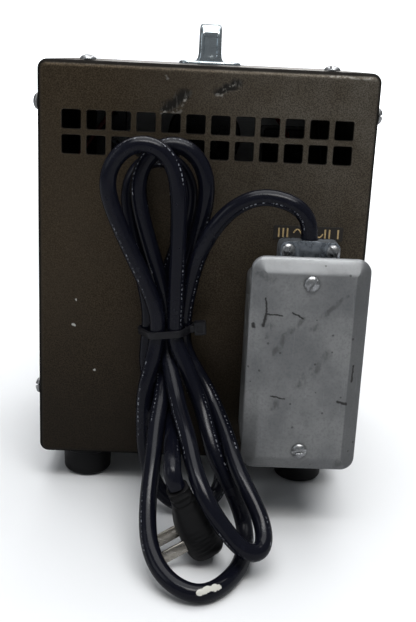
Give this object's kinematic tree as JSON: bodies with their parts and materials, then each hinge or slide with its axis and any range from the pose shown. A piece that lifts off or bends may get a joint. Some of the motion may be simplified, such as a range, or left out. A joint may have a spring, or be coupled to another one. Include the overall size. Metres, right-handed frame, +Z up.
{
  "type": "variac autotransformer",
  "caption": "Metal-cased bench variable autotransformer with a top handle, rear terminal box, a coiled mains cord, a hidden toroid with a knob-driven brush, and a voltmeter on the front panel.",
  "frame": {"origin": "table plane under the feet, below the middle of the whole footprint, cord included; the case's own middle is 43.1 mm towards +Y", "axes": "+Z up; +Y towards the front panel with the knob; -Y towards the rear cover, terminal box and cord; +X to the right when the rear is looked at"},
  "size_m": [0.1738, 0.2901, 0.2453],
  "materials": {
    "bronze_paint": "olive-bronze metallic enamel, fine speckle, chipped at the edges",
    "box_grey": "dull grey plated and lacquered sheet, scratched",
    "chrome": "bright chrome plate, light scuffs",
    "plated_steel": "zinc plate, slightly dulled",
    "nickel": "nickel plate, warm grey",
    "panel_aluminium": "satin anodised sheet",
    "black_rubber": "matte black moulded rubber",
    "black_cable": "black cable jacket with a soft sheen",
    "black_nylon": "black nylon",
    "black_phenolic": "black phenolic moulding",
    "enamelled_copper": "enamelled copper wire",
    "core_iron": "wound steel strip",
    "brass": "turned brass",
    "carbon": "pressed carbon",
    "scale_cream": "cream printed card",
    "window": "clear meter window",
    "red_plastic": "red plastic",
    "label_black": "dark printed plate",
    "lead_black": "black PVC insulation",
    "lead_white": "off-white PVC insulation",
    "lead_red": "red PVC insulation"
  },
  "bodies": {
    "case": {"box_cover": "box_grey", "box_nipple": "plated_steel", "box_screw_lower": "plated_steel", "box_screw_upper": "plated_steel", "cabinet": "bronze_paint", "clamp_body": "plated_steel", "clamp_saddle": "plated_steel", "clamp_screw_left": "plated_steel", "clamp_screw_right": "plated_steel", "cord": "black_cable", "cord_tie": "black_nylon", "core": "core_iron", "cover_screw_left_lower": "plated_steel", "cover_screw_left_upper": "plated_steel", "cover_screw_right_lower": "plated_steel", "cover_screw_right_upper": "plated_steel", "cover_screw_top_left": "plated_steel", "cover_screw_top_right": "plated_steel", "dial_plate": "panel_aluminium", "foot_front_left": "black_rubber", "foot_front_right": "black_rubber", "foot_rear_left": "black_rubber", "foot_rear_right": "black_rubber", "front_panel": "panel_aluminium", "fuse_holder": "black_phenolic", "handle": "chrome", "handle_screw_front": "plated_steel", "handle_screw_rear": "plated_steel", "lamp_holder": "chrome", "lamp_lens": "red_plastic", "lead_line": "lead_black", "lead_neutral": "lead_white", "lead_output": "lead_red", "meter_case": "black_phenolic", "meter_scale": "scale_cream", "meter_window": "window", "mounting_base": "black_phenolic", "output_receptacle": "black_phenolic", "panel_screw_left_lower": "plated_steel", "panel_screw_left_upper": "plated_steel", "panel_screw_right_lower": "plated_steel", "panel_screw_right_upper": "plated_steel", "plug_blade_far": "nickel", "plug_blade_near": "nickel", "plug_body": "black_rubber", "rear_cover": "bronze_paint", "shaft_bushing": "brass", "switch_body": "black_phenolic", "terminal_block": "black_phenolic", "terminal_box": "box_grey", "voltage_label": "label_black", "winding": "enamelled_copper"},
    "rotor": {"shaft": "plated_steel", "brush_arm": "panel_aluminium", "carbon_brush": "carbon", "knob": "black_phenolic"},
    "needle": {"meter_needle": "red_plastic"},
    "toggle": {"switch_lever": "chrome"},
    "fuse_carrier": {"fuse_cap": "black_phenolic"}
  },
  "joints": [
    {"name": "knob_turn", "type": "hinge", "parent": "case", "child": "rotor", "pos_m": [0, 0.0431, 0.092], "axis": [0, -1, 0], "range_deg": [0, 320]},
    {"name": "needle_swing", "type": "hinge", "parent": "case", "child": "needle", "pos_m": [0, 0.1251, 0.171], "axis": [0, -1, 0], "range_deg": [0, 90]},
    {"name": "switch_throw", "type": "hinge", "parent": "case", "child": "toggle", "pos_m": [-0.056, 0.1221, 0.192], "axis": [1, 0, 0], "range_deg": [0, 28]},
    {"name": "fuse_cap_pull", "type": "slide", "parent": "case", "child": "fuse_carrier", "axis": [0, 1, 0], "range_m": [0, 0.012]}
  ],
  "couplings": [
    {"joint": "needle_swing", "follows": "knob_turn", "ratio": 0.28125}
  ]
}
